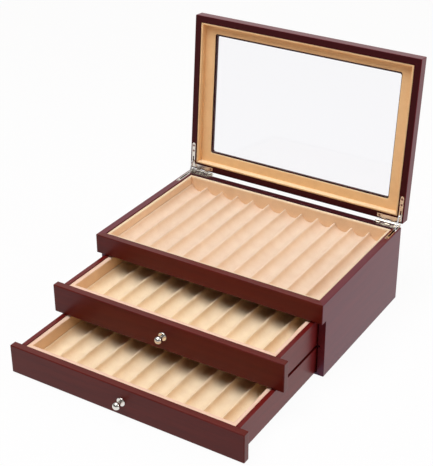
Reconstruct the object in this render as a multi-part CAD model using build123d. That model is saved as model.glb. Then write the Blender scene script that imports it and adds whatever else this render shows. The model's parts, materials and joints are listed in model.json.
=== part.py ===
from build123d import *
import os
from math import acos, asin, cos, degrees, radians, sin, sqrt, tan

# A lacquered wooden chest for pens: a case with a glazed lid, a grooved tray under the
# lid and two grooved drawers below it. Sizes are in millimetres. The front faces -Y,
# +Z is up, and the origin is under the middle of the case, on the surface it stands on.
# Everything is drawn where it rests: lid open on its stays, both drawers pulled out.

# ---- outside ---------------------------------------------------------------------
chest_width = 340.0
chest_depth = 229.0
case_height = 111.0
lid_height = 16.0
lid_gap = 0.4               # air between case rim and closed lid
edge_radius = 1.0           # rounding of the case's and the lid's outside edges
overcut = 1.0               # how far a cutting shape runs past the face it cuts
felt_thickness = 1.2
felt_inset = 4.0

# ---- case ------------------------------------------------------------------------
wall = 9.4                  # case sides, back and rail, and the lid's rails
rail_height = 27.5
front_thickness = 10.2      # drawer fronts lap the sides' front edges
closing_gap = 0.3           # air behind a closed drawer's front
rail_gap = 1.8              # below the rail, above the upper front
front_gap = 1.0             # between the two drawer fronts
board = 2.2                 # deck and drawer bottoms
case_bottom_thickness = 3.4
divider_thickness = 3.0
divider_setback = 2.0
housing_depth = 3.0         # how far boards enter the case walls
fit = 0.1                   # clearance of glued and housed pieces
running_gap = 0.3           # air between a sliding piece and what carries it

# ---- drawers ---------------------------------------------------------------------
upper_extension = 94.0
lower_extension = 184.0
drawer_rear_gap = 3.6       # air behind a closed drawer
front_edge_radius = 1.2
side_drop = 0.2             # drawer sides' top edges below the front's
side_thickness = 6.0
side_gap = 1.9              # between case wall and drawer side
guide_height = 12.0
guide_setback = 14.0
bottom_lift = 1.0           # drawer bottom above the sides' lower edges
bottom_housing = 2.0

# ---- linings and trays -----------------------------------------------------------
case_liner = 4.5
liner_recess = 1.0          # case liners below the rim
drawer_liner = 6.3
drawer_liner_drop = 0.8     # drawer liners below the sides' top edges
liner_radius = 1.0
tray_gap = 0.2              # between a tray and the liners round it
groove_depth = 11.5
ridge_land = 1.6            # flat top of a ridge between two grooves
top_tray_height = 14.6
drawer_tray_height = 17.0
top_groove_count = 12
drawer_groove_count = 11

# ---- lid window ------------------------------------------------------------------
lip_thickness = 3.0         # wood above the glass
glass_thickness = 1.5
retainer_thickness = 1.5    # covered frame that holds the glass from below
lid_liner = 3.0
lid_liner_lift = 0.2        # lid liners above the rail's lower face
window_side_border = 30.0
window_end_border = 27.8
window_radius = 3.0
retainer_reveal = 2.0       # retainer opening is this much wider than the lip's
glass_overlap = 5.0

# ---- hinges with stays -----------------------------------------------------------
lid_open_angle = 95.0
axis_back = 3.0             # hinge axis behind the case's back
leaf_thickness = 1.2
leaf_width = 5.0
arm_length = 39.5           # side arm, from the back of the case to its round tip
rear_arm_reach = 38.0       # rear arm, from the side of the case
barrel_radius = 2.4
barrel_start = 4.0          # barrel end, from the side of the case
knuckles = 5
knuckle_gap = 0.3
pin_radius = 1.2
pin_clearance = 0.05
pin_head_radius = 1.8
pin_head_thickness = 0.6
lug_distance = 14.0         # stay rivet, from the hinge axis
rivet_drop = 2.1            # stay rivet, below the leaf's face
rivet_radius = 0.6
stay_length = 19.0
stay_radius = 1.5           # half the stay's width and its round ends
stay_thickness = 1.0
lug_thickness = 0.9
stay_play = 0.25
slot_clearance = 0.5
mortise_depth = 5.2
lug_window = 6.0            # hole left where the lug is bent out of the lid leaf
screw_head_radius = 1.7
screw_shank_radius = 0.9
screw_head_depth = 0.8
screw_length = 7.0
screw_tip_radius = 0.2
recess_length = 1.9
recess_width = 0.5
recess_depth = 0.4
case_screw_setback = 2.3    # case arm screw, from the arm's tip
lid_screw_setback = 4.5     # first lid arm screw, from the arm's tip
lid_screw_spacing = 8.0
rear_screw_inset = 3.2      # rear arm screw, from the arm's end

# ---- knobs -----------------------------------------------------------------------
ball_radius = 5.1
ball_reach = 9.6            # ball centre, from the drawer front
flange_radius = 5.9
flange_thickness = 1.8
neck_radius = 2.6
knob_screw_radius = 2.0
knob_screw_grip = 5.0       # thread inside the knob
knob_head_radius = 3.8
knob_head_depth = 2.2
knob_bore_clearance = 0.1

# ---- derived places --------------------------------------------------------------
half_width = chest_width / 2
half_depth = chest_depth / 2
case_low = felt_thickness
case_top = case_low + case_height
rail_low = case_top - rail_height
inner_half = half_width - wall
inner_back = half_depth - wall
front_plane = -half_depth + front_thickness + closing_gap
front_height = (case_height - rail_height - rail_gap - front_gap) / 2
lower_front_low = case_low
upper_front_low = case_low + front_height + front_gap
side_lift = case_bottom_thickness + running_gap
side_height = front_height - side_lift - side_drop
drawer_length = inner_back - drawer_rear_gap + half_depth - front_thickness
divider_top = upper_front_low + side_lift - running_gap
deck_top = rail_low + board
drawer_half = inner_half - side_gap
drawer_inner_half = drawer_half - side_thickness

lid_low = case_top + lid_gap
lid_top = lid_low + lid_height
glass_top = lid_top - lip_thickness
retainer_top = glass_top - glass_thickness
retainer_low = retainer_top - retainer_thickness
window_half_x = half_width - window_side_border
window_half_y = half_depth - window_end_border

arm_x = half_width - wall / 2
axis_y = half_depth + axis_back
axis_z = case_top + lid_gap / 2
hinge_axis = Axis((0, axis_y, axis_z), (1, 0, 0))
arm_tip = half_depth - arm_length
rear_arm_y = half_depth - wall / 2
rear_arm_end = half_width - rear_arm_reach
barrel_low = rear_arm_end
barrel_high = half_width - barrel_start
slot_half = (stay_thickness + lug_thickness + 3 * stay_play) / 2
stay_low_x = arm_x - slot_half + stay_play
lug_low_x = stay_low_x + stay_thickness + stay_play
rivet_high_x = lug_low_x + lug_thickness
rivet_fall = rivet_drop + lid_gap / 2     # rivet below the hinge axis, lid closed


# ---- shapes used by several pieces -----------------------------------------------
def block(x_range, y_range, z_range):
    """Rectangular block between the given limits."""
    ranges = (x_range, y_range, z_range)
    centre = [(low + high) / 2 for low, high in ranges]
    size = [high - low for low, high in ranges]
    return Pos(*centre) * Box(*size)


def prism(outline, z_low, z_high):
    """Upright prism on a plan outline."""
    return extrude(Pos(0, 0, z_low) * Polygon(*outline, align=None), z_high - z_low, dir=(0, 0, 1))


def rod(x_range, y, z, radius):
    """Round bar along X."""
    low, high = x_range
    return Pos((low + high) / 2, y, z) * Rot(0, 90, 0) * Cylinder(radius, high - low)


def capsule(start, end, radius, x_range):
    """Flat bar with round ends from start to end, both (y, z), lying in the YZ plane."""
    low, high = x_range
    run = sqrt((end[0] - start[0]) ** 2 + (end[1] - start[1]) ** 2)
    tilt = degrees(asin((end[1] - start[1]) / run))
    if end[0] < start[0]:
        tilt = 180 - tilt
    bar = Pos(0, run / 2, 0) * Box(high - low, run, 2 * radius)
    placed = Pos((low + high) / 2, *start) * Rot(tilt, 0, 0) * bar
    return placed + rod(x_range, *start, radius) + rod(x_range, *end, radius)


def mirrored(shape):
    """The same piece on the other side of the chest."""
    return mirror(shape, about=Plane.YZ)


def opened(shape):
    """A piece drawn on the closed lid, turned to where the lid rests."""
    return shape.rotate(hinge_axis, -lid_open_angle)


def rounded_envelope(z_low, z_high):
    """Outside of the case or the lid, with all its edges rounded."""
    outside = block((-half_width, half_width), (-half_depth, half_depth), (z_low, z_high))
    return fillet(outside.edges(), edge_radius)


def board_housing(z_low, z_high):
    """Room for a board that is let into the case walls."""
    reach = inner_half + housing_depth
    return block((-reach, reach), (-inner_back - housing_depth, inner_back + housing_depth),
                 (z_low - fit, z_high + fit))


def housed_board(z_low, z_high, y_front):
    """Board held in the case's side and back walls."""
    reach = inner_half + housing_depth - fit
    return block((-reach, reach), (y_front, inner_back + housing_depth - fit), (z_low, z_high))


def save(shape, node):
    """Write one piece to its own file."""
    export_step(shape, f"parts/{node}.step")


# ---- hinge pieces, right-hand side -----------------------------------------------
def rivet_place(angle):
    """Stay rivet (y, z) with the lid opened by the given angle."""
    turn = radians(angle)
    y = -lug_distance * cos(turn) - rivet_fall * sin(turn)
    z = lug_distance * sin(turn) - rivet_fall * cos(turn)
    return axis_y + y, axis_z + z


foot_z = case_top - rivet_drop
rivet_open = rivet_place(lid_open_angle)
rivet_closed = rivet_place(0)
stay_slope = degrees(asin((rivet_open[1] - foot_z) / stay_length))
closed_slope = degrees(asin((rivet_closed[1] - foot_z) / stay_length))
foot_open = rivet_open[0] - stay_length * cos(radians(stay_slope))
foot_closed = rivet_closed[0] - stay_length * cos(radians(closed_slope))
slot_front = foot_closed - stay_radius - slot_clearance
slot_back = (foot_open + stay_radius / sin(radians(stay_slope))
             + rivet_drop / tan(radians(stay_slope)) + slot_clearance)


def leaf_outline(z_low, z_high, grow=0.0):
    """Corner plate: a round-tipped arm on the side rim and an arm on the rear rim."""
    half = leaf_width / 2 + grow
    tip_y = arm_tip + leaf_width / 2
    side_arm = block((arm_x - half, arm_x + half), (tip_y, rear_arm_y + half), (z_low, z_high))
    tip = Pos(arm_x, tip_y, (z_low + z_high) / 2) * Cylinder(half, z_high - z_low)
    rear_arm = block((rear_arm_end - grow, arm_x + half), (rear_arm_y - half, rear_arm_y + half),
                     (z_low, z_high))
    return side_arm + tip + rear_arm


def knuckle_spans(first):
    """X limits of every second knuckle, starting at the given one."""
    pitch = (barrel_high - barrel_low) / knuckles
    starts = [barrel_low + pitch * count for count in range(first, knuckles, 2)]
    return [(start + knuckle_gap / 2, start + pitch - knuckle_gap / 2) for start in starts]


def knuckled(plate, z_low, z_high, first):
    """A leaf with its tails and the knuckles that turn on the pin."""
    bore = rod((barrel_low - overcut, barrel_high + overcut), axis_y, axis_z, pin_radius + pin_clearance)
    for span in knuckle_spans(first):
        plate += block(span, (rear_arm_y, axis_y), (z_low, z_high))
        plate += rod(span, axis_y, axis_z, barrel_radius)
    return plate - bore


def tail_room(first, z_low, z_high):
    """Cut through the back rim for a leaf's tails."""
    room = [block((low - fit, high + fit), (rear_arm_y, half_depth + overcut), (z_low, z_high))
            for low, high in knuckle_spans(first)]
    return room


def stay_slot(z_low, z_high):
    """Slot that the stay's foot slides in."""
    return block((arm_x - slot_half, arm_x + slot_half), (slot_front, slot_back), (z_low, z_high))


def wood_screw():
    """Countersunk screw, head up with its top at the origin, and the cross recess in its head."""
    outline = Polyline((0, 0), (screw_head_radius, 0), (screw_shank_radius, -screw_head_depth),
                       (screw_shank_radius, 2 * screw_shank_radius - screw_length),
                       (screw_tip_radius, -screw_length), (0, -screw_length), (0, 0))
    turned = Rot(90, 0, 0) * revolve(make_face(outline), Axis.Y)
    recess = Box(recess_length, recess_width, 2 * recess_depth)
    return turned, recess + Rot(0, 0, 90) * recess


def screw_places(side_setbacks):
    """Screw centres (x, y) on one leaf."""
    places = [(arm_x, arm_tip + setback) for setback in side_setbacks]
    return places + [(rear_arm_end + rear_screw_inset, rear_arm_y)]


case_screw_places = screw_places([case_screw_setback])
lid_screw_places = screw_places([lid_screw_setback, lid_screw_setback + lid_screw_spacing])


def case_screws():
    """Solid screws of the right-hand case leaf, and the recesses in their heads."""
    body, recess = wood_screw()
    places = [Pos(x, y, case_top) for x, y in case_screw_places]
    return [place * body for place in places], [place * recess for place in places]


def lid_screws():
    """The same for the lid leaf, pointing up into the closed lid."""
    body, recess = wood_screw()
    places = [Pos(x, y, lid_low) * Rot(180, 0, 0) for x, y in lid_screw_places]
    return [place * body for place in places], [place * recess for place in places]


def cut_all(shape, cutters):
    """Shape less every cutter that is given."""
    for cutter in cutters:
        shape = shape - cutter
    return shape


def both_sides(cutters):
    """Cutters for the right-hand hinge together with their mirror images."""
    return cutters + [mirrored(cutter) for cutter in cutters]


def case_hinge_room():
    """Everything that the hinges take out of the case's wood."""
    low = case_top - leaf_thickness
    plate = leaf_outline(low, case_top + overcut, fit)
    mortise = stay_slot(case_top - mortise_depth, case_top + overcut)
    return both_sides([plate, mortise] + tail_room(0, low, case_top + overcut) + case_screws()[0])


def lid_hinge_room():
    """Everything that the hinges take out of the lid's wood."""
    high = lid_low + leaf_thickness
    plate = leaf_outline(lid_low - overcut, high, fit)
    return both_sides([plate] + tail_room(1, lid_low - overcut, high) + lid_screws()[0])


def case_leaf():
    """Leaf let into the case rim, with the slot for the stay."""
    low = case_top - leaf_thickness
    leaf = knuckled(leaf_outline(low, case_top), low, case_top, 0)
    return cut_all(leaf - stay_slot(low - overcut, case_top + overcut), case_screws()[0])


def lid_leaf():
    """Leaf let into the lid rim, with a bent lug that carries the stay."""
    high = lid_low + leaf_thickness
    leaf = knuckled(leaf_outline(lid_low, high), lid_low, high, 1)
    lug_y, lug_z = rivet_closed
    lug_x = (lug_low_x, lug_low_x + lug_thickness)
    window_low = lug_y - stay_radius - lug_window
    window = block((lug_low_x - stay_thickness, lug_x[1]), (window_low, lug_y - stay_radius),
                   (lid_low - overcut, high + overcut))
    lug = block(lug_x, (lug_y - stay_radius, lug_y + stay_radius), (lug_z, high))
    lug += rod(lug_x, lug_y, lug_z, stay_radius)
    hole = rod((lug_x[0] - overcut, lug_x[1] + overcut), lug_y, lug_z, rivet_radius)
    return cut_all(leaf - window + lug - hole, lid_screws()[0])


def hinge_pin():
    """Pin through all the knuckles, with a head at each end."""
    reach = (barrel_low - knuckle_gap, barrel_high + knuckle_gap)
    pin = rod(reach, axis_y, axis_z, pin_radius)
    for outer, inner in ((reach[0] - pin_head_thickness, reach[0]), (reach[1], reach[1] + pin_head_thickness)):
        pin += rod((outer, inner), axis_y, axis_z, pin_head_radius)
    return pin


def stay_rivet():
    """Rivet through the lug and the stay, drawn with the lid open."""
    return rod((stay_low_x, rivet_high_x), *rivet_open, rivet_radius)


def stay_link():
    """Stay from the lug to the slot, with the stub that slides in the slot."""
    x_range = (stay_low_x, stay_low_x + stay_thickness)
    link = capsule((foot_open, foot_z), rivet_open, stay_radius, x_range)
    link += rod((stay_low_x, rivet_high_x), foot_open, foot_z, rivet_radius)
    hole = rod((stay_low_x - overcut, rivet_high_x + overcut), *rivet_open, rivet_radius + pin_clearance)
    return link - hole


# ---- case ------------------------------------------------------------------------
case_outside = rounded_envelope(case_low, case_top)
case_hinge_cuts = case_hinge_room()
case_housings = [board_housing(case_low - overcut, case_low + case_bottom_thickness),
                 board_housing(divider_top - divider_thickness, divider_top),
                 board_housing(rail_low - overcut, deck_top)]


def case_side():
    """Right side, mitred at the back and under the rim, cut back for the drawer fronts."""
    lower = [(half_width, front_plane), (half_width, half_depth), (inner_half, inner_back),
             (inner_half, front_plane)]
    upper = [(half_width, -half_depth), (half_width, half_depth), (inner_half, inner_back),
             (inner_half, -inner_back)]
    side = prism(lower, case_low, rail_low) + prism(upper, rail_low, case_top)
    housings = [case_housings[0], case_housings[1],
                board_housing(rail_low + fit, deck_top)]
    return cut_all(side & case_outside, housings + case_hinge_cuts)


def case_back():
    """Back, mitred into the sides."""
    outline = [(half_width, half_depth), (-half_width, half_depth), (-inner_half, inner_back),
               (inner_half, inner_back)]
    back = prism(outline, case_low, case_top)
    housings = [case_housings[0], case_housings[1],
                board_housing(rail_low + fit, deck_top)]
    return cut_all(back & case_outside, housings + case_hinge_cuts)


def front_rail():
    """Rail above the drawers, mitred into the sides."""
    outline = [(half_width, -half_depth), (-half_width, -half_depth), (-inner_half, -inner_back),
               (inner_half, -inner_back)]
    rail = prism(outline, rail_low, case_top)
    lower_edge = rail.edges().filter_by(Axis.X).group_by(Axis.Z)[0].sort_by(Axis.Y)[0]
    return cut_all(fillet(lower_edge, edge_radius) & case_outside, [case_housings[2]])


def drawer_guides():
    """Four strips on the case sides that keep the drawers in the middle."""
    y_range = (front_plane + guide_setback, inner_back - guide_setback)
    x_range = (drawer_half + running_gap, inner_half)
    strips = []
    for front_low in (lower_front_low, upper_front_low):
        middle = front_low + side_lift + side_height / 2
        strip = block(x_range, y_range, (middle - guide_height / 2, middle + guide_height / 2))
        strips += [strip, mirrored(strip)]
    return strips


def base_felt():
    """Felt sheet glued under the case."""
    x_reach = half_width - felt_inset
    return block((-x_reach, x_reach), (front_plane + felt_inset, half_depth - felt_inset), (0, felt_thickness))


# ---- linings and trays -----------------------------------------------------------
def liner_strips(outer_x, y_low, y_high, z_low, z_high, thickness):
    """Four covered strips round a box's inside: front, rear, left and right."""
    inner_x = outer_x - thickness
    spans = {"front": ((-outer_x, outer_x), (y_low, y_low + thickness)),
             "rear": ((-outer_x, outer_x), (y_high - thickness, y_high)),
             "left": ((-outer_x, -inner_x), (y_low + thickness, y_high - thickness)),
             "right": ((inner_x, outer_x), (y_low + thickness, y_high - thickness))}
    strips = {}
    for name, (x_range, y_range) in spans.items():
        strip = block(x_range, y_range, (z_low, z_high))
        run = Axis.X if name in ("front", "rear") else Axis.Y
        strips[name] = fillet(strip.edges().filter_by(run).group_by(Axis.Z)[-1], liner_radius)
    return strips


def grooved_tray(half_x, y_low, y_high, z_low, height, grooves):
    """Tray insert: a padded block with round-bottomed grooves from front to back."""
    tray = block((-half_x, half_x), (y_low, y_high), (z_low, z_low + height))
    pitch = 2 * half_x / grooves
    chord = pitch - ridge_land
    radius = (chord ** 2 / 4 + groove_depth ** 2) / (2 * groove_depth)
    centre_z = z_low + height - groove_depth + radius
    length = y_high - y_low + 2 * overcut
    for count in range(grooves):
        centre_x = -half_x + pitch * (count + 0.5)
        tray -= Pos(centre_x, (y_low + y_high) / 2, centre_z) * Rot(90, 0, 0) * Cylinder(radius, length)
    return tray


def top_tray():
    """Tray insert under the lid."""
    half_x = inner_half - case_liner - tray_gap
    half_y = inner_back - case_liner - tray_gap
    return grooved_tray(half_x, -half_y, half_y, deck_top, top_tray_height, top_groove_count)


# ---- drawers ---------------------------------------------------------------------
def drawer_pieces(front_low, extension):
    """All pieces of one drawer, drawn where it rests."""
    front_face = -half_depth - extension
    front_back = front_face + front_thickness
    box_back = front_back + drawer_length
    side_low = front_low + side_lift
    side_top = side_low + side_height
    bottom_low = side_low + bottom_lift
    bottom_top = bottom_low + board
    middle = front_low + front_height / 2

    front = block((-half_width, half_width), (front_face, front_back), (front_low, front_low + front_height))
    front = fillet(front.edges(), front_edge_radius)
    housing = block((-drawer_inner_half - bottom_housing, drawer_inner_half + bottom_housing),
                    (front_back - bottom_housing, box_back + overcut), (bottom_low - fit, bottom_top + fit))
    side = block((drawer_inner_half, drawer_half), (front_back, box_back), (side_low, side_top))
    back = block((-drawer_inner_half, drawer_inner_half), (box_back - side_thickness, box_back),
                 (side_low, side_top))
    back_housing = block((-drawer_inner_half, drawer_inner_half),
                         (front_back, box_back - side_thickness + bottom_housing),
                         (bottom_low - fit, bottom_top + fit))
    reach = drawer_inner_half + bottom_housing - fit
    bottom = block((-reach, reach),
                   (front_back - bottom_housing + fit, box_back - side_thickness + bottom_housing - fit),
                   (bottom_low, bottom_top))
    side_housing = housing & block((-half_width, half_width),
                                   (front_back - bottom_housing, box_back - side_thickness + bottom_housing),
                                   (side_low, side_top))
    screw = knob_screw(front_back, middle)
    bore = along_y(front_face - overcut, front_back, middle, knob_screw_radius + knob_bore_clearance)
    seat = countersink(front_back, middle)
    side = side - side_housing
    inner_rear = box_back - side_thickness
    liners = liner_strips(drawer_inner_half, front_back, inner_rear, bottom_top,
                          side_top - drawer_liner_drop, drawer_liner)
    tray_half = drawer_inner_half - drawer_liner - tray_gap
    tray = grooved_tray(tray_half, front_back + drawer_liner + tray_gap,
                        inner_rear - drawer_liner - tray_gap, bottom_top, drawer_tray_height,
                        drawer_groove_count)
    pieces = {"front": cut_all(front, [housing, bore, seat]),
              "side_right": side,
              "side_left": mirrored(side),
              "back": back - back_housing,
              "bottom": bottom,
              "tray_insert": tray,
              "knob": knob(front_face, middle) - screw,
              "knob_screw": screw}
    for name, strip in liners.items():
        pieces["liner_" + name] = strip
    return pieces


def along_y(y_low, y_high, z, radius):
    """Round bar along Y on the chest's middle plane."""
    return Pos(0, (y_low + y_high) / 2, z) * Rot(90, 0, 0) * Cylinder(radius, y_high - y_low)


def countersink(front_back, z):
    """Conical seat for the knob screw's head in the back of a drawer front."""
    cone = Cone(knob_head_radius, knob_screw_radius, knob_head_depth)
    return Pos(0, front_back - knob_head_depth / 2, z) * Rot(90, 0, 0) * cone


def knob_screw(front_back, z):
    """Screw through a drawer front into its knob."""
    tip = front_back - front_thickness - knob_screw_grip
    recess = Pos(0, front_back, z) * Box(2 * knob_screw_radius, 2 * recess_depth, recess_width)
    return countersink(front_back, z) + along_y(tip, front_back - knob_head_depth, z, knob_screw_radius) - recess


def knob(front_face, z):
    """Turned metal knob: a flange, a waisted neck and a ball."""
    waist = flange_thickness + (ball_reach - ball_radius - flange_thickness) / 2
    meet = ball_reach - sqrt(ball_radius ** 2 - neck_radius ** 2)
    outline = Polyline((0, 0), (flange_radius, 0), (flange_radius, flange_thickness / 2))
    outline += ThreePointArc((flange_radius, flange_thickness / 2),
                             (flange_radius - flange_thickness / 6, 5 * flange_thickness / 6),
                             (flange_radius - flange_thickness / 2, flange_thickness))
    outline += Line((flange_radius - flange_thickness / 2, flange_thickness), (neck_radius, flange_thickness))
    outline += Line((neck_radius, flange_thickness), (neck_radius, meet))
    outline += ThreePointArc((neck_radius, meet), (ball_radius, ball_reach), (0, ball_reach + ball_radius))
    outline += Line((0, ball_reach + ball_radius), (0, 0))
    turned = revolve(make_face(outline), Axis.Y)
    return Pos(0, front_face, z) * Rot(0, 0, 180) * turned


# ---- lid -------------------------------------------------------------------------
lid_outside = rounded_envelope(lid_low, lid_top)
lid_hinge_cuts = lid_hinge_room()


def opening(half_x, half_y, z_low, z_high):
    """Window opening with rounded corners."""
    hole = block((-half_x, half_x), (-half_y, half_y), (z_low, z_high))
    return fillet(hole.edges().filter_by(Axis.Z), window_radius)


def lid_rail(outline):
    """L-shaped lid member: a wall below and a flat border round the window above."""
    member = prism(outline, lid_low, lid_top) & lid_outside
    hollow = block((-inner_half, inner_half), (-inner_back, inner_back), (lid_low - overcut, glass_top))
    window = opening(window_half_x, window_half_y, lid_low - overcut, lid_top + overcut)
    return cut_all(member, [hollow, window] + lid_hinge_cuts)


def lid_side_rail():
    """Right-hand member, mitred at both ends."""
    corner_x = window_half_x - window_radius
    corner_y = window_half_y - window_radius
    outline = [(half_width, -half_depth), (half_width, half_depth), (inner_half, inner_back),
               (corner_x, corner_y), (corner_x, -corner_y), (inner_half, -inner_back)]
    return lid_rail(outline)


def lid_end_rail(side):
    """Front (-1) or rear (1) member, mitred at both ends."""
    corner_x = window_half_x - window_radius
    corner_y = side * (window_half_y - window_radius)
    edge_y = side * half_depth
    wall_y = side * inner_back
    outline = [(-half_width, edge_y), (half_width, edge_y), (inner_half, wall_y), (corner_x, corner_y),
               (-corner_x, corner_y), (-inner_half, wall_y)]
    return lid_rail(outline)


def lid_glass():
    """Pane under the lip of the lid's border."""
    return block((-window_half_x - glass_overlap, window_half_x + glass_overlap),
                 (-window_half_y - glass_overlap, window_half_y + glass_overlap), (retainer_top, glass_top))


def window_retainer():
    """Covered frame that holds the pane up against the lip."""
    half_x = inner_half - fit
    half_y = inner_back - fit
    frame = block((-half_x, half_x), (-half_y, half_y), (retainer_low, retainer_top))
    return frame - opening(window_half_x + retainer_reveal, window_half_y + retainer_reveal,
                           retainer_low - overcut, retainer_top + overcut)


def lid_liners():
    """Four covered strips inside the lid, their round edges at the rim."""
    strips = liner_strips(inner_half, -inner_back, inner_back, 0, retainer_low - lid_low - lid_liner_lift,
                          lid_liner)
    return {name: Pos(0, 0, retainer_low) * Rot(0, 180, 0) * strip for name, strip in strips.items()}


# ---- assembly --------------------------------------------------------------------
def main():
    """Build every piece and write it to its own file."""
    os.makedirs("parts", exist_ok=True)

    side = case_side()
    save(side, "case_side_right")
    save(mirrored(side), "case_side_left")
    save(case_back(), "case_back")
    save(front_rail(), "front_rail")
    save(housed_board(case_low, case_low + case_bottom_thickness, front_plane), "case_bottom")
    save(housed_board(divider_top - divider_thickness, divider_top, front_plane + divider_setback),
         "drawer_divider")
    save(housed_board(rail_low, deck_top, -inner_back - housing_depth + fit), "tray_deck")
    save(Compound(drawer_guides()), "drawer_guides")
    save(base_felt(), "base_felt")

    liners = liner_strips(inner_half, -inner_back, inner_back, deck_top, case_top - liner_recess, case_liner)
    for name, strip in liners.items():
        save(strip, f"top_liner_{name}")
    save(top_tray(), "top_tray_insert")

    leaf = case_leaf()
    save(leaf, "hinge_case_leaf_right")
    save(mirrored(leaf), "hinge_case_leaf_left")
    pin = hinge_pin()
    save(pin, "hinge_pin_right")
    save(mirrored(pin), "hinge_pin_left")
    screws = [screw - recess for screw, recess in zip(*case_screws())]
    save(Compound(both_sides(screws)), "hinge_case_screws")

    right_rail = lid_side_rail()
    save(opened(right_rail), "lid_rail_right")
    save(opened(mirrored(right_rail)), "lid_rail_left")
    save(opened(lid_end_rail(-1)), "lid_rail_front")
    save(opened(lid_end_rail(1)), "lid_rail_rear")
    save(opened(lid_glass()), "lid_glass")
    save(opened(window_retainer()), "window_retainer")
    turned_names = {"front": "front", "rear": "rear", "left": "right", "right": "left"}
    for name, strip in lid_liners().items():
        save(opened(strip), f"lid_liner_{turned_names[name]}")
    leaf = lid_leaf()
    save(opened(leaf), "hinge_lid_leaf_right")
    save(opened(mirrored(leaf)), "hinge_lid_leaf_left")
    screws = [screw - recess for screw, recess in zip(*lid_screws())]
    save(Compound([opened(screw) for screw in both_sides(screws)]), "hinge_lid_screws")
    save(Compound(both_sides([stay_rivet()])), "stay_rivets")

    link = stay_link()
    save(link, "stay_link_right")
    save(mirrored(link), "stay_link_left")

    for drawer, front_low, extension in (("upper_drawer", upper_front_low, upper_extension),
                                         ("lower_drawer", lower_front_low, lower_extension)):
        for name, piece in drawer_pieces(front_low, extension).items():
            save(piece, f"{drawer}_{name}")

    closed_turn = lid_open_angle + stay_slope - closed_slope
    print(f"hinge axis y {axis_y:.3f} z {axis_z:.3f}")
    print(f"stay rivet y {rivet_open[0]:.3f} z {rivet_open[1]:.3f}")
    print(f"stay turns {closed_turn:.3f} degrees, ratio {-closed_turn / lid_open_angle:.5f}")
    print(f"foot y open {foot_open:.3f} closed {foot_closed:.3f}, slot {slot_front:.2f} to {slot_back:.2f}")


main()
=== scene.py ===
import json
from math import cos, pi, radians, sin

import bmesh
import bpy
import numpy as np
from mathutils import Matrix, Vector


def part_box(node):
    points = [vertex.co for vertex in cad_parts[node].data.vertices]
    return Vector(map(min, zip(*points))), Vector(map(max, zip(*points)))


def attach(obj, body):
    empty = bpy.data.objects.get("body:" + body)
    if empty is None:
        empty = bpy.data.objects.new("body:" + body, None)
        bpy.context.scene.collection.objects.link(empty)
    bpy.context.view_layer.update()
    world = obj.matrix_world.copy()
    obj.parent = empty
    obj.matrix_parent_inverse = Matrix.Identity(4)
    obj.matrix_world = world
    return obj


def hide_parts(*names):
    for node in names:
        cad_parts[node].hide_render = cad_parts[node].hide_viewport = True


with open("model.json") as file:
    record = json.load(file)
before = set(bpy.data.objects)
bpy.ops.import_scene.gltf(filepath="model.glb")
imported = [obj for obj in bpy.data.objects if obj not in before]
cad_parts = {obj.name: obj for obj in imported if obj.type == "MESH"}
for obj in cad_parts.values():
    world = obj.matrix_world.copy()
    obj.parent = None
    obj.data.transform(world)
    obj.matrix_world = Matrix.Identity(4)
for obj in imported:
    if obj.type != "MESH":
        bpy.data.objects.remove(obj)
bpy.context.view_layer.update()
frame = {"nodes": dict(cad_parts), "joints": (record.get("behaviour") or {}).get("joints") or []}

# A lacquered mahogany chest for pens, seen with its lid up and both drawers out.
# Lengths are in metres unless a name ends in _mm. The front faces -Y and +Z is up.


# ---- case boards, rail, drawer boxes and lid rails --------------------------------
# The chest is made of solid mahogany-coloured hardwood boards, glued and mitred, then stained dark red
# and sprayed with satin-gloss lacquer. The fill leaves only a trace of the pores, so the eye gets a deep
# brown-red with a soft, pale reflection of the room on every face seen at a low angle.
MM = 0.001


def linear(code):
    """Scene-linear RGBA of an sRGB hex colour such as "4E1B12"."""
    srgb = np.array([int(code[i:i + 2], 16) for i in (0, 2, 4)]) / 255
    value = np.where(srgb <= 0.04045, srgb / 12.92, ((srgb + 0.055) / 1.055) ** 2.4)
    return (*value.tolist(), 1.0)


def add(material, kind, inputs=None, **settings):
    """Adds one node. settings are its own properties. inputs pairs a socket with a value or an output."""
    made = material.node_tree.nodes.new(kind)
    for name, value in settings.items():
        setattr(made, name, value)
    for socket, value in (inputs or {}).items():
        if isinstance(value, bpy.types.NodeSocket):
            material.node_tree.links.new(value, made.inputs[socket])
        else:
            made.inputs[socket].default_value = value
    return made


def blank_material(name):
    """An empty node material."""
    material = bpy.data.materials.new(name)
    material.use_nodes = True
    material.node_tree.nodes.clear()
    return material


pore_width_mm = 0.9          # drawn wider than a real 0.2 mm pore, so that it still shows
pore_length_mm = 14.0
pore_stain = "350D08"
figure_width_mm = 7.0
figure_length_mm = 90.0
painted_rim_shade = "3E1012"      # painted shade on the rims and inner faces of the case and lid

hinge = next(joint for joint in frame["joints"] if joint["name"] == "lid_hinge")
hinge_place = tuple(hinge["pos_m"])
hinge_y, hinge_z = hinge_place[1:]
lid_angle = radians(-hinge["range_deg"][0])


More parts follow.
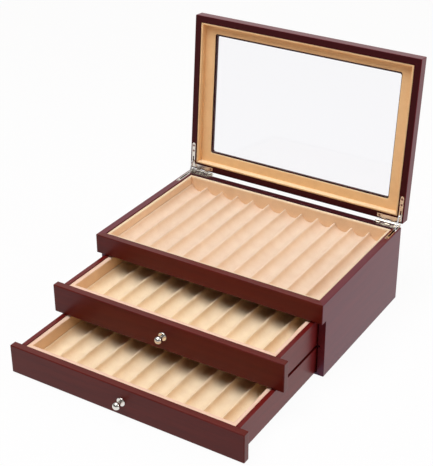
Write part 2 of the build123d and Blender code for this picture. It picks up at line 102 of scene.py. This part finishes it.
def lacquered_mahogany(name, grain, light, dark, lustre, tilt=0.0, shell=None):
    """Stained and lacquered mahogany between two stain colours. grain is the axis that the fibres follow,
    and tilt turns the wood back about the hinge. lustre tints the lacquer's mirror face-on, a painted
    reflection colour; edge-on it stays whole. shell is (centre, half size) of a box in the turned-back
    wood: what lies inside it, the rims and inner faces, gets painted shade, and what lies outside it is an
    outer face."""
    material = blank_material(name)
    place = add(material, "ShaderNodeTexCoord").outputs["Object"]
    wood = add(material, "ShaderNodeVectorRotate",
               {"Vector": place, "Center": hinge_place, "Angle": tilt}, rotation_type="X_AXIS").outputs[0]

    def streaks(width_mm, length_mm, detail):
        """Noise drawn out along the grain: one cell is length_mm long and width_mm wide."""
        scale = [1 / (width_mm * MM)] * 3
        scale["XYZ".index(grain)] = 1 / (length_mm * MM)
        stretched = add(material, "ShaderNodeMapping", {"Vector": wood, "Scale": scale})
        return add(material, "ShaderNodeTexNoise",
                   {"Vector": stretched.outputs[0], "Scale": 1.0, "Detail": detail}).outputs[0]

    figure = streaks(figure_width_mm, figure_length_mm, 3.0)
    pores = streaks(pore_width_mm, pore_length_mm, 2.0)
    stain = add(material, "ShaderNodeValToRGB", {"Fac": figure})
    stain.color_ramp.elements[0].position, stain.color_ramp.elements[1].position = 0.32, 0.7
    stain.color_ramp.elements[0].color = linear(dark)
    stain.color_ramp.elements[1].color = linear(light)
    depth = add(material, "ShaderNodeMapRange",
                {"Value": pores, "From Min": 0.56, "From Max": 0.72, "To Min": 0.0, "To Max": 0.25})
    colour = add(material, "ShaderNodeMix", {0: depth.outputs[0], 6: stain.outputs[0], 7: linear(pore_stain)},
                 data_type="RGBA")
    # painted shade: wood inside the shell box, the rims and inner faces, takes the dark shade colour
    if shell:
        centre, half_size = shell
        offset = add(material, "ShaderNodeVectorMath", {0: wood, 1: centre}, operation="SUBTRACT")
        reach = add(material, "ShaderNodeVectorMath", {0: offset.outputs[0]}, operation="ABSOLUTE")
        excess = add(material, "ShaderNodeVectorMath", {0: reach.outputs[0], 1: half_size},
                     operation="SUBTRACT")
        along = add(material, "ShaderNodeSeparateXYZ", {0: excess.outputs[0]}).outputs
        level = add(material, "ShaderNodeMath", {0: along["X"], 1: along["Y"]}, operation="MAXIMUM")
        most = add(material, "ShaderNodeMath", {0: level.outputs[0], 1: along["Z"]}, operation="MAXIMUM")
        inside = add(material, "ShaderNodeMath", {0: most.outputs[0], 1: 0.0}, operation="LESS_THAN")
        colour = add(material, "ShaderNodeMix",
                     {0: inside.outputs[0], 6: colour.outputs[2], 7: linear(painted_rim_shade)}, data_type="RGBA")
    bump = add(material, "ShaderNodeBump", {"Height": pores, "Strength": 0.1, "Distance": 0.05 * MM})
    shader = add(material, "ShaderNodeBsdfPrincipled",
                 {"Base Color": colour.outputs[2], "Roughness": 0.34, "IOR": 1.6, "Normal": bump.outputs[0],
                  "Specular Tint": (*lustre, 1.0)})
    add(material, "ShaderNodeOutputMaterial", {"Surface": shader.outputs[0]})
    return material


def paint(material, *names):
    """Gives CAD nodes one material in every slot."""
    for name in names:
        mesh = frame["nodes"][name].data
        mesh.materials.clear()
        mesh.materials.append(material)


# Light stain, dark stain and lustre of each group of boards. The groups differ to make up for how light falls
# on each, so their colours and lustres are partly painted light and shade; the case's bluish lustre paints a
# plum reflection on its boards.
front_stain_as_lit = ("60180C", "561409", (0.17, 0.17, 0.2))
case_stain_as_lit = ("65180F", "5C140C", (0.28, 0.28, 0.6))
drawer_side_stain_as_lit = ("6A1A18", "601412", (0.1, 0.08, 0.1))
lid_stain_as_lit = ("681E28", "5E1822", (0.08, 0.08, 0.1))

skin = 0.4 * MM              # faces this close to the outer sides and bottom keep the stain; rims and inner faces get painted shade
lid_height = 16.0 * MM
back_low, back_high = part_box("case_back")
case_top = back_high[2]
lid_rim = 2 * hinge_z - case_top             # of the closed lid; the hinge axis lies midway in the gap
plan = (back_high[0] - skin, back_high[1] - skin)
case_shade_box = ((0, 0, case_top), (*plan, case_top - back_low[2] - skin))
lid_shade_box = ((0, 0, lid_rim), (*plan, lid_height - skin))

mahogany_fronts = lacquered_mahogany("mahogany_lacquer_fronts", "X", *front_stain_as_lit)
mahogany_drawer_sides = lacquered_mahogany("mahogany_lacquer_drawer_sides", "Y", *drawer_side_stain_as_lit)
mahogany_along_x = lacquered_mahogany("mahogany_lacquer_along_x", "X", *case_stain_as_lit, shell=case_shade_box)
mahogany_along_y = lacquered_mahogany("mahogany_lacquer_along_y", "Y", *case_stain_as_lit)
mahogany_lid_front = lacquered_mahogany("mahogany_lacquer_lid_front", "X", *lid_stain_as_lit, lid_angle, lid_shade_box)
mahogany_lid_side = lacquered_mahogany("mahogany_lacquer_lid_side", "Y", *lid_stain_as_lit, lid_angle, lid_shade_box)
paint(mahogany_along_x, "case_back", "case_bottom", "drawer_divider", "tray_deck")
paint(mahogany_fronts, "front_rail", "upper_drawer_front", "lower_drawer_front")
paint(mahogany_lid_front, "lid_rail_front", "lid_rail_rear")
paint(mahogany_along_y, "case_side_left", "case_side_right", "drawer_guides")
paint(mahogany_lid_side, "lid_rail_left", "lid_rail_right")
for drawer in ("upper_drawer", "lower_drawer"):
    paint(mahogany_along_x, f"{drawer}_back", f"{drawer}_bottom")
    paint(mahogany_drawer_sides, f"{drawer}_side_left", f"{drawer}_side_right")


# ---- grooved tray inserts ---------------------------------------------------------
# Each level has a formed insert with round-bottomed grooves, one pen to a groove, flocked with short
# tan suede. The cloth softens the crest of every ridge, and the crests wander a little from straight.
def ripple(first, second, wavelength_mm, seed):
    """Smooth unevenness, mostly from -1 to 1: eight plane waves of about the given length, added up and
    divided by four."""
    chance = np.random.default_rng(seed)
    heading, phase = chance.uniform(0, 2 * pi, (2, 8))
    rate = 2 * pi / (wavelength_mm * MM * chance.uniform(0.7, 1.6, 8))
    total = sum(np.sin(k * (first * np.cos(h) + second * np.sin(h)) + p)
                for k, h, p in zip(rate, heading, phase))
    return total / 4


def swept_mesh(name, points, closed_path=False):
    """A closed surface from points[station, section point, xyz]. Quads join each section to the next.
    A section is a loop whose second half runs back beside its first, so a ladder of quads caps it."""
    stations, around, _ = points.shape
    index = np.arange(stations * around).reshape(stations, around)
    here = index if closed_path else index[:-1]
    there = np.roll(index, -1, 0) if closed_path else index[1:]
    faces = np.stack([here, there, np.roll(there, -1, 1), np.roll(here, -1, 1)], -1).reshape(-1, 4)
    if not closed_path:
        rung = np.arange(around // 2 - 1)
        for section, turn in ((index[0], 1), (index[-1], -1)):
            cap = np.stack([section[rung], section[rung + 1],
                            section[around - 2 - rung], section[around - 1 - rung]], -1)
            faces = np.vstack([faces, cap[:, ::turn]])
    mesh = bpy.data.meshes.new(name)
    mesh.from_pydata(points.reshape(-1, 3), [], faces.tolist())
    mesh.update()
    return mesh


crease_angle = radians(50)   # edges that turn further than this stay sharp


def finished(mesh, name, body, material, node):
    """Makes a mesh a piece of suede: faces turned outwards, smooth but for creases, riding on its body.
    Its attribute "upright" is 0 where the cloth lies level and 1 where it stands or hangs; the suede paints
    shade by it."""
    shell = bmesh.new()
    shell.from_mesh(mesh)
    bmesh.ops.remove_doubles(shell, verts=shell.verts, dist=0.001 * MM)
    if shell.calc_volume(signed=True) < 0:
        bmesh.ops.reverse_faces(shell, faces=shell.faces)
    shell.to_mesh(mesh)
    shell.free()
    mesh.shade_smooth()
    normals = np.empty(3 * len(mesh.vertices), np.float32)
    mesh.vertices.foreach_get("normal", normals)
    # share of painted shade: none where the cloth faces up, all where it stands or hangs
    upright = 1 - np.clip(normals.reshape(-1, 3)[:, 2], 0, 1)
    mesh.attributes.new("upright", "FLOAT", "POINT").data.foreach_set("value", upright)
    mesh.set_sharp_from_angle(angle=crease_angle)
    mesh.materials.append(material)
    piece = bpy.data.objects.new(name, mesh)
    bpy.context.scene.collection.objects.link(piece)
    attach(piece, body)
    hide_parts(node)


nap_mm = 0.8                 # drawn coarser than real suede fibres of 0.1 mm, so that the nap shows
brush_mark_mm = 16.0
brushed_back = "B87F4E"      # nap that lies away from the eye


def tan_suede(name, level, upright):
    """Short-napped microfibre suede: matt, with a pale sheen at low angles and faint brush marks. Cloth
    that lies level gets the level colour and cloth that stands or hangs the darker upright colour: painted
    shade, as the light falls from above."""
    material = blank_material(name)
    place = add(material, "ShaderNodeTexCoord").outputs["Object"]
    slope = add(material, "ShaderNodeAttribute", attribute_name="upright").outputs["Fac"]
    marks = add(material, "ShaderNodeTexNoise",
                {"Vector": place, "Scale": 1 / (brush_mark_mm * MM), "Detail": 3.0, "Roughness": 0.6})
    nap = add(material, "ShaderNodeTexNoise", {"Vector": place, "Scale": 1 / (nap_mm * MM), "Detail": 2.0})
    # painted shade: the darker upright colour on standing and hanging cloth, the level colour on level cloth
    ground = add(material, "ShaderNodeMix", {0: slope, 6: linear(level), 7: linear(upright)},
                 data_type="RGBA")
    tone = add(material, "ShaderNodeMath", {0: marks.outputs[0], 1: nap.outputs[0]}, operation="ADD")
    shade = add(material, "ShaderNodeMapRange",
                {"Value": tone.outputs[0], "From Min": 0.8, "From Max": 1.2, "To Min": 0.16, "To Max": 0.0})
    colour = add(material, "ShaderNodeMix",
                 {0: shade.outputs[0], 6: ground.outputs[2], 7: linear(brushed_back)}, data_type="RGBA")
    bump = add(material, "ShaderNodeBump", {"Height": nap.outputs[0], "Strength": 0.3, "Distance": 0.12 * MM})
    shader = add(material, "ShaderNodeBsdfPrincipled",
                 {"Base Color": colour.outputs[2], "Roughness": 0.95, "Specular IOR Level": 0.15,
                  "Sheen Weight": 0.12, "Sheen Roughness": 0.5, "Normal": bump.outputs[0]})
    add(material, "ShaderNodeOutputMaterial", {"Surface": shader.outputs[0]})
    return material


# The trays, liners and lid have the same cloth. Each place's colours differ to make up for the light that
# falls there, so they are partly painted light: the drawers' trays, in the case's shade, are painted paler
# than the top tray.
top_suede = tan_suede("tan_suede_top_tray", "EAD6C2", "E8C49C")
drawer_suede = tan_suede("tan_suede_drawers", "FAE8CA", "F6D2A2")

groove_depth = 11.5 * MM
ridge_land = 1.6 * MM        # width that a groove's circle leaves for the ridge beside it
crest_softness = 0.45 * MM
crest_wander = 0.35 * MM     # sideways
crest_waves = 0.2 * MM       # up and down
cloth_lumps = 0.12 * MM
edge_tuck = 1.2 * MM         # the cloth rolls down at the tray's edges over this distance
tuck_steepness = 0.6
steepest = 0.98              # share of a groove's radius, past which its wall would turn vertical
samples_per_groove = 26
tray_stations = 70


def grooved_top(x, y, low, high, count, seed):
    """Height of a grooved tray: a row of circular arcs, cut off softly at the ridges' height.
    The soft cut is -k log(exp(-arc / k) + exp(-ridge / k)), where k is the crests' softness. Near the
    tray's edges a quarter of an ellipse is taken off."""
    pitch = (high[0] - low[0]) / count
    chord = pitch - ridge_land
    radius = (chord ** 2 / 4 + groove_depth ** 2) / (2 * groove_depth)
    wander = crest_wander * ripple(x, y, wavelength_mm=70, seed=seed)
    across = (x - low[0] + wander) / pitch
    offset = np.clip((across - np.floor(across) - 0.5) * pitch, -steepest * radius, steepest * radius)
    arc = high[2] - groove_depth + radius - np.sqrt(radius ** 2 - offset ** 2)
    ridge = high[2] + crest_waves * ripple(x, y, wavelength_mm=45, seed=seed + 1)
    soft = -crest_softness * np.logaddexp(-arc / crest_softness, -ridge / crest_softness)
    rim = np.minimum.reduce([x - low[0], high[0] - x, y - low[1], high[1] - y])
    tuck = tuck_steepness * edge_tuck * (1 - np.sqrt(1 - np.clip(1 - rim / edge_tuck, 0, 1) ** 2))
    return soft + cloth_lumps * ripple(x, y, wavelength_mm=22, seed=seed + 2) - tuck


def tray_insert(name, body, material, count, seed):
    """The insert fills its CAD node's box, its grooves running from front to rear."""
    low, high = (np.array(corner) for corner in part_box(name))
    x = np.linspace(low[0], high[0], count * samples_per_groove + 1)
    y = low[1] + (high[1] - low[1]) * (0.5 - 0.5 * np.cos(np.linspace(0, pi, tray_stations)))
    x, y = np.meshgrid(x, y)
    top = np.stack([x, y, grooved_top(x, y, low, high, count, seed)], -1)
    underside = np.stack([x, y, np.full_like(x, low[2])], -1)
    mesh = swept_mesh(name + "_suede", np.concatenate([top, underside[:, ::-1]], 1))
    finished(mesh, name + "_suede", body, material, name)


tray_insert("top_tray_insert", "case", top_suede, count=12, seed=11)
tray_insert("upper_drawer_tray_insert", "upper_drawer", drawer_suede, count=11, seed=21)
tray_insert("lower_drawer_tray_insert", "lower_drawer", drawer_suede, count=11, seed=31)


# ---- liners round the top compartment and in the drawers --------------------------
# Boards wrapped in the same suede stand round each compartment. Their top edge is rounded by the cloth
# and a thin padding, and they meet in mitred corners where the cloth is folded in.
swell = 0.25 * MM            # how far a liner's face stands out halfway up
wall_points = 8
over_points = 13
sole_share = 0.6             # one more point under the board, at this share of its thickness
liner_stations = 60
touching = 0.02 * MM         # a point nearer to the wall than this lies on it
lump_rise = 0.6              # of how far a lump of cloth stands out, it also moves up


def liner_section(thickness, height, softness):
    """Section of a covered board, as (distance from the wall, height): straight at the wall, a
    half-ellipse over the top, and a face that swells by a sine of its height."""
    turn = np.linspace(0, pi, over_points)
    top_depth = thickness * (0.5 - 0.5 * np.cos(turn))
    top_height = height - softness * (1 - np.sin(turn))
    rise = np.linspace(1, 0, wall_points + 1)[1:]
    face_depth = thickness - swell * (1 - np.sin(pi * rise))
    face_height = (height - softness) * rise
    wall_height = np.linspace(0, height - softness, wall_points + 1)[:-1]
    wall = np.stack([np.zeros(wall_points), wall_height], -1)
    over = np.stack([top_depth, top_height], -1)
    face = np.stack([face_depth, face_height], -1)
    return np.vstack([wall, over, face, [[thickness * sole_share, 0]]])


def liner_strip(section, length, seed):
    """One mitred strip about the middle of its wall: points[station, section, (along, from wall, up)].
    Each section point stops short of the corner by its distance from the wall. Waves of cloth move
    every point that touches neither the wall nor the ground."""
    share = np.linspace(-1, 1, liner_stations)[:, None]
    depth, height = section[None, :, 0], section[None, :, 1]
    along = share * (length / 2 - depth)
    free = (depth > touching) & (height > 0)
    lumps = free * cloth_lumps * ripple(along, height + 0 * along, wavelength_mm=35, seed=seed)
    return np.stack([along, depth + lumps, height + lump_rise * lumps], -1)


def strips_round(low, high, thickness, softness, seed):
    """The four strips of a compartment between two corners, named by side, in the object's frame."""
    section = liner_section(thickness, high[2] - low[2], softness)
    middle = (low + high) / 2
    size = high - low
    strips = {}
    for number, (side, heading, length, reach) in enumerate((
            ("front", 0, size[0], size[1]), ("right", 90, size[1], size[0]),
            ("rear", 180, size[0], size[1]), ("left", 270, size[1], size[0]))):
        strip = liner_strip(section, length, seed + number)
        turn = radians(heading)
        along, inward = strip[..., 0], strip[..., 1] - reach / 2
        x = middle[0] + along * cos(turn) - inward * sin(turn)
        y = middle[1] + along * sin(turn) + inward * cos(turn)
        strips[side] = np.stack([x, y, low[2] + strip[..., 2]], -1)
    return strips


def joint_box(names):
    """Corners of the box round several CAD nodes."""
    lows, highs = zip(*(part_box(name) for name in names))
    return np.min(lows, 0), np.max(highs, 0)


# The liners' level and upright colours lie closer together than the trays', a lighter painted shade on their
# upright faces.
top_liner_suede = tan_suede("tan_suede_top_liners", "EEDCC0", "F4D4B0")
drawer_liner_suede = tan_suede("tan_suede_drawer_liners", "F4D4C0", "F4CFA4")
top_softness = 2.4 * MM      # rounding of the cloth over a liner's top edge
drawer_softness = 1.3 * MM
sides = ("front", "right", "rear", "left")
for prefix, body, material, softness, seed in (
        ("top_liner_", "case", top_liner_suede, top_softness, 41),
        ("upper_drawer_liner_", "upper_drawer", drawer_liner_suede, drawer_softness, 51),
        ("lower_drawer_liner_", "lower_drawer", drawer_liner_suede, drawer_softness, 61)):
    low, high = joint_box([prefix + side for side in sides])
    left_low, left_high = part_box(prefix + "left")
    for side, points in strips_round(low, high, left_high[0] - left_low[0], softness, seed).items():
        mesh = swept_mesh(f"{prefix}{side}_suede", points)
        finished(mesh, f"{prefix}{side}_suede", body, material, prefix + side)


# ---- lid liners and window frame --------------------------------------------------
# Inside the lid, thin suede-covered strips line the rails down to the rim, and a covered frame with
# rounded window corners presses the pane up against the wood. They are shaped with the lid closed and
# then turned up about the hinge.
def turned_about_hinge(points, angle):
    """Points turned about the hinge's X axis; a positive angle opens the lid."""
    y, z = points[..., 1] - hinge_y, points[..., 2] - hinge_z
    return np.stack([points[..., 0], hinge_y + y * cos(angle) + z * sin(angle),
                     hinge_z - y * sin(angle) + z * cos(angle)], -1)


def closed_box(names):
    """Corners of the box round several lid nodes, measured with the lid closed."""
    corners = []
    for name in names:
        mesh = frame["nodes"][name].data
        at_rest = np.empty(3 * len(mesh.vertices), np.float32)
        mesh.vertices.foreach_get("co", at_rest)
        corners.append(turned_about_hinge(at_rest.reshape(-1, 3).astype(float), -lid_angle))
    return np.vstack(corners).min(0), np.vstack(corners).max(0)


# The lid's colours are painted paler and yellower than the trays', to make up for the little light on its
# faces.
lid_suede = tan_suede("tan_suede_lid", "FCE2BA", "F5CC96")
lid_softness = 1.0 * MM
low, high = closed_box([f"lid_liner_{side}" for side in sides])
left_low, left_high = closed_box(["lid_liner_left"])
for side, points in strips_round(low, high, left_high[0] - left_low[0], lid_softness, seed=71).items():
    points[..., 2] = low[2] + high[2] - points[..., 2]        # the rounded edge is the lower one here
    mesh = swept_mesh(f"lid_liner_{side}_suede", turned_about_hinge(points, lid_angle))
    finished(mesh, f"lid_liner_{side}_suede", "lid", lid_suede, f"lid_liner_{side}")

window_half = (142.4 * MM, 89.3 * MM)
window_shift = (-0.4 * MM, -0.6 * MM)   # the cover sits slightly off the middle, as on the real lid
window_corner = 3.0 * MM
frame_corner = 0.3 * MM
corner_points = 12
face_points = 8
roll_points = 7
roll_radius = 0.6 * MM


def rounded_loop(half_x, half_y, radius):
    """Points round a rectangle with round corners: four quarter circles, the rear right one first."""
    turn = np.linspace(0, pi / 2, corner_points)
    loop = []
    for quarter, (sx, sy) in enumerate(((1, 1), (-1, 1), (-1, -1), (1, -1))):
        angle = turn + quarter * pi / 2
        loop.append(np.stack([sx * (half_x - radius) + radius * np.cos(angle),
                              sy * (half_y - radius) + radius * np.sin(angle)], -1))
    return np.vstack(loop)


def window_frame():
    """A flat frame whose inner edge is rolled: its face runs from the wall to the window, where a
    half-circle of cloth turns back under it."""
    low, high = closed_box(["window_retainer"])
    outer = rounded_loop((high[0] - low[0]) / 2, (high[1] - low[1]) / 2, frame_corner)
    inner = rounded_loop(*window_half, window_corner) + np.array(window_shift)
    middle = (low + high) / 2
    thickness = high[2] - low[2]
    turn = np.linspace(0, pi, roll_points + 2)[1:-1]
    outwards, level = np.linspace(1, 0, face_points), np.zeros(face_points)
    share = np.concatenate([1 - outwards, np.ones(roll_points), outwards])
    roll = np.concatenate([level, np.sin(turn), level]) * roll_radius
    drop = np.concatenate([level, 0.5 - 0.5 * np.cos(turn), level + 1]) * thickness
    towards = inner - outer
    inward = -inner / np.linalg.norm(inner, axis=1)[:, None]
    flat = outer[:, None] + share[None, :, None] * towards[:, None] + roll[None, :, None] * inward[:, None]
    height = np.broadcast_to(low[2] + drop[None, :], flat.shape[:2])
    points = np.concatenate([flat + middle[:2], height[..., None]], -1)
    mesh = swept_mesh("window_retainer_suede", turned_about_hinge(points, lid_angle), closed_path=True)
    finished(mesh, "window_retainer_suede", "lid", lid_suede, "window_retainer")


window_frame()


# ---- pane -------------------------------------------------------------------------
# A thin pane of clear float glass lies under the lip of the lid's border. Nothing is etched or
# printed on it: the eye gets the background through it, a touch greyer. The pane is so thin that its
# index hardly bends the view, and 1.2 keeps the tray's mirror image in it as weak as the photo's.
float_glass = blank_material("clear_float_glass")
pane = add(float_glass, "ShaderNodeBsdfPrincipled",
           {"Base Color": linear("F9F9FB"), "Roughness": 0.0, "IOR": 1.2, "Transmission Weight": 1.0})
add(float_glass, "ShaderNodeOutputMaterial", {"Surface": pane.outputs[0]})
paint(float_glass, "lid_glass")


# ---- hinges, stays and screws -----------------------------------------------------
# The hinges are stamped from steel strip and plated with bright nickel, which is a warm white metal.
# Rolling lines of the strip leave them less sharp than the knobs. The stays were tumbled to a satin, and
# their whiter colour is painted highlight. The small screws' heads are painted dark: painted shade in their
# recesses.
haze_width_mm = 1.5


def nickel_plate(name, colour, sharpest, dullest):
    """Plated steel whose sharpness wanders between two roughnesses."""
    material = blank_material(name)
    place = add(material, "ShaderNodeTexCoord").outputs["Object"]
    haze = add(material, "ShaderNodeTexNoise",
               {"Vector": place, "Scale": 1 / (haze_width_mm * MM), "Detail": 3.0}).outputs[0]
    rough = add(material, "ShaderNodeMapRange", {"Value": haze, "To Min": sharpest, "To Max": dullest})
    bump = add(material, "ShaderNodeBump", {"Height": haze, "Strength": 0.05, "Distance": 0.05 * MM})
    metal = add(material, "ShaderNodeBsdfPrincipled",
                {"Base Color": linear(colour), "Metallic": 1.0, "Roughness": rough.outputs[0],
                 "Normal": bump.outputs[0]})
    add(material, "ShaderNodeOutputMaterial", {"Surface": metal.outputs[0]})
    return material


paint(nickel_plate("bright_nickel_plate", "DDD6CC", 0.14, 0.3),
      "hinge_case_leaf_left", "hinge_case_leaf_right", "hinge_pin_left", "hinge_pin_right",
      "hinge_lid_leaf_left", "hinge_lid_leaf_right")
# the stays' whiter colour is painted highlight, so that they look brighter than the hinges' nickel
paint(nickel_plate("satin_nickel_stays", "F4F4F8", 0.35, 0.5),
      "stay_rivets", "stay_link_left", "stay_link_right")
# the screws' dark colour is painted shade in their recesses
paint(nickel_plate("nickel_screws_painted_shade", "8E6A64", 0.25, 0.4), "hinge_case_screws", "hinge_lid_screws")


# ---- knobs ------------------------------------------------------------------------
# Each drawer has one turned brass ball knob on a round flange, polished and plated with bright
# chrome over nickel. It mirrors the room, so its edges look black beside its highlights.
bright_chrome = blank_material("polished_chrome_plate")
mirror = add(bright_chrome, "ShaderNodeBsdfPrincipled",
             {"Base Color": linear("E4E0DA"), "Metallic": 1.0, "Roughness": 0.07})
add(bright_chrome, "ShaderNodeOutputMaterial", {"Surface": mirror.outputs[0]})
paint(bright_chrome, "upper_drawer_knob", "lower_drawer_knob", "upper_drawer_knob_screw",
      "lower_drawer_knob_screw")


# ---- felt under the case ----------------------------------------------------------
# A sheet of thin wool felt is glued under the case, so that it doesn't scratch a desk. It is dyed dark
# red to go with the wood and is only seen from below.
felt = blank_material("dark_red_wool_felt")
place = add(felt, "ShaderNodeTexCoord").outputs["Object"]
fibre_tuft_mm = 0.6
fibres = add(felt, "ShaderNodeTexNoise", {"Vector": place, "Scale": 1 / (fibre_tuft_mm * MM), "Detail": 3.0})
colour = add(felt, "ShaderNodeMix", {0: fibres.outputs[0], 6: linear("2C0E0C"), 7: linear("46201C")},
             data_type="RGBA")
wool = add(felt, "ShaderNodeBsdfPrincipled",
           {"Base Color": colour.outputs[2], "Roughness": 1.0, "Specular IOR Level": 0.1,
            "Sheen Weight": 0.3})
add(felt, "ShaderNodeOutputMaterial", {"Surface": wool.outputs[0]})
paint(felt, "base_felt")


# ---- floor, light and camera ------------------------------------------------------
# A plain white floor in a white room that is darker on the camera's side, with one broad soft lamp
# overhead and a weaker one to the right. The camera stands to the right of the front, high and far off.
floor_half = 6.0
floor_mesh = bpy.data.meshes.new("floor")
floor_mesh.from_pydata([(-floor_half, -floor_half, 0), (floor_half, -floor_half, 0),
                        (floor_half, floor_half, 0), (-floor_half, floor_half, 0)], [], [(0, 1, 2, 3)])
floor = bpy.data.objects.new("floor", floor_mesh)
bpy.context.scene.collection.objects.link(floor)


def seen_rays(material):
    """1 for rays that show a thing as it is, straight or through glass, and the same or mirrored."""
    rays = add(material, "ShaderNodeLightPath").outputs
    shown = add(material, "ShaderNodeMath",
                {0: rays["Is Camera Ray"], 1: rays["Is Transmission Ray"]}, operation="MAXIMUM").outputs[0]
    either = add(material, "ShaderNodeMath", {0: shown, 1: rays["Is Glossy Ray"]}, operation="MAXIMUM")
    return shown, either.outputs[0]


sweep = blank_material("white_sweep")
paper_share = 0.05           # of what the eye sees of the floor: enough for the chest's faint shadow
shown, seen = seen_rays(sweep)
paper = add(sweep, "ShaderNodeBsdfDiffuse", {"Color": linear("EEECF4")})
white = add(sweep, "ShaderNodeEmission", {"Color": linear("FFFFFF"), "Strength": 1.0})
share = add(sweep, "ShaderNodeMath", {0: seen, 1: 1 - paper_share}, operation="MULTIPLY")
either = add(sweep, "ShaderNodeMixShader", {0: share.outputs[0], 1: paper.outputs[0], 2: white.outputs[0]})
add(sweep, "ShaderNodeOutputMaterial", {"Surface": either.outputs[0]})
floor_mesh.materials.append(sweep)

world = bpy.data.worlds.new("studio")
bpy.context.scene.world = world
world.use_nodes = True
world.node_tree.nodes.clear()
shown, seen = seen_rays(world)
# The eye sees plain white. A mirror meets the room, bright behind the chest and dim towards the camera.
# Rays that light the cloth and the wood meet a dimmer and warmer room.
heading = add(world, "ShaderNodeSeparateXYZ", {0: add(world, "ShaderNodeTexCoord").outputs["Generated"]})
behind = add(world, "ShaderNodeMapRange",
             {"Value": heading.outputs["Y"], "From Min": -0.3, "From Max": 0.6}).outputs[0]
fill = add(world, "ShaderNodeMapRange", {"Value": behind, "To Min": 0.12, "To Max": 0.28})
mirror = add(world, "ShaderNodeMapRange", {"Value": behind, "To Min": 0.2, "To Max": 1.0})
unseen = add(world, "ShaderNodeMix", {0: seen, 2: fill.outputs[0], 3: mirror.outputs[0]})
strength = add(world, "ShaderNodeMix", {0: shown, 2: unseen.outputs[0], 3: 1.0})
tint = add(world, "ShaderNodeMix", {0: seen, 6: linear("FFCD98"), 7: linear("FFFFFF")}, data_type="RGBA")
room = add(world, "ShaderNodeBackground", {"Color": tint.outputs[2], "Strength": strength.outputs[0]})
add(world, "ShaderNodeOutputWorld", {"Surface": room.outputs[0]})


def softbox(name, place, aim, size, watts):
    """A square area lamp at place that faces aim."""
    lamp = bpy.data.lights.new(name, "AREA")
    lamp.shape = "SQUARE"
    lamp.size = size
    lamp.energy = watts
    holder = bpy.data.objects.new(name, lamp)
    away = np.array(place) - np.array(aim)
    holder.matrix_world = Matrix.Translation(place) @ (
        Matrix.Rotation(np.arctan2(away[1], away[0]) + pi / 2, 4, "Z")
        @ Matrix.Rotation(np.arctan2(np.hypot(away[0], away[1]), away[2]), 4, "X"))
    bpy.context.scene.collection.objects.link(holder)


chest_middle = (0, -0.1, 0.1)
softbox("overhead_softbox", (-0.22, -0.62, 2.05), chest_middle, size=1.5, watts=40)
softbox("right_softbox", (1.9, 0.5, 0.9), chest_middle, size=1.2, watts=16)

# The camera was solved from the chest's corners and edges as they lie in the photo.
camera_place = (0.688989, -1.186879, 0.872497)
camera_yaw, camera_pitch, camera_roll = radians(31.964), radians(-29.099), radians(-0.285)
focal_pixels = 1171.07
image_width = 433
camera_data = bpy.data.cameras.new("camera")
camera_data.sensor_fit = "HORIZONTAL"
camera_data.sensor_width = 36.0
camera_data.lens = focal_pixels * camera_data.sensor_width / image_width
camera = bpy.data.objects.new("camera", camera_data)
camera.matrix_world = (Matrix.Translation(camera_place) @ Matrix.Rotation(camera_yaw, 4, "Z")
                       @ Matrix.Rotation(pi / 2 + camera_pitch, 4, "X")
                       @ Matrix.Rotation(camera_roll, 4, "Z"))
bpy.context.scene.collection.objects.link(camera)
bpy.context.scene.camera = camera
bpy.context.scene.view_settings.view_transform = "Standard"
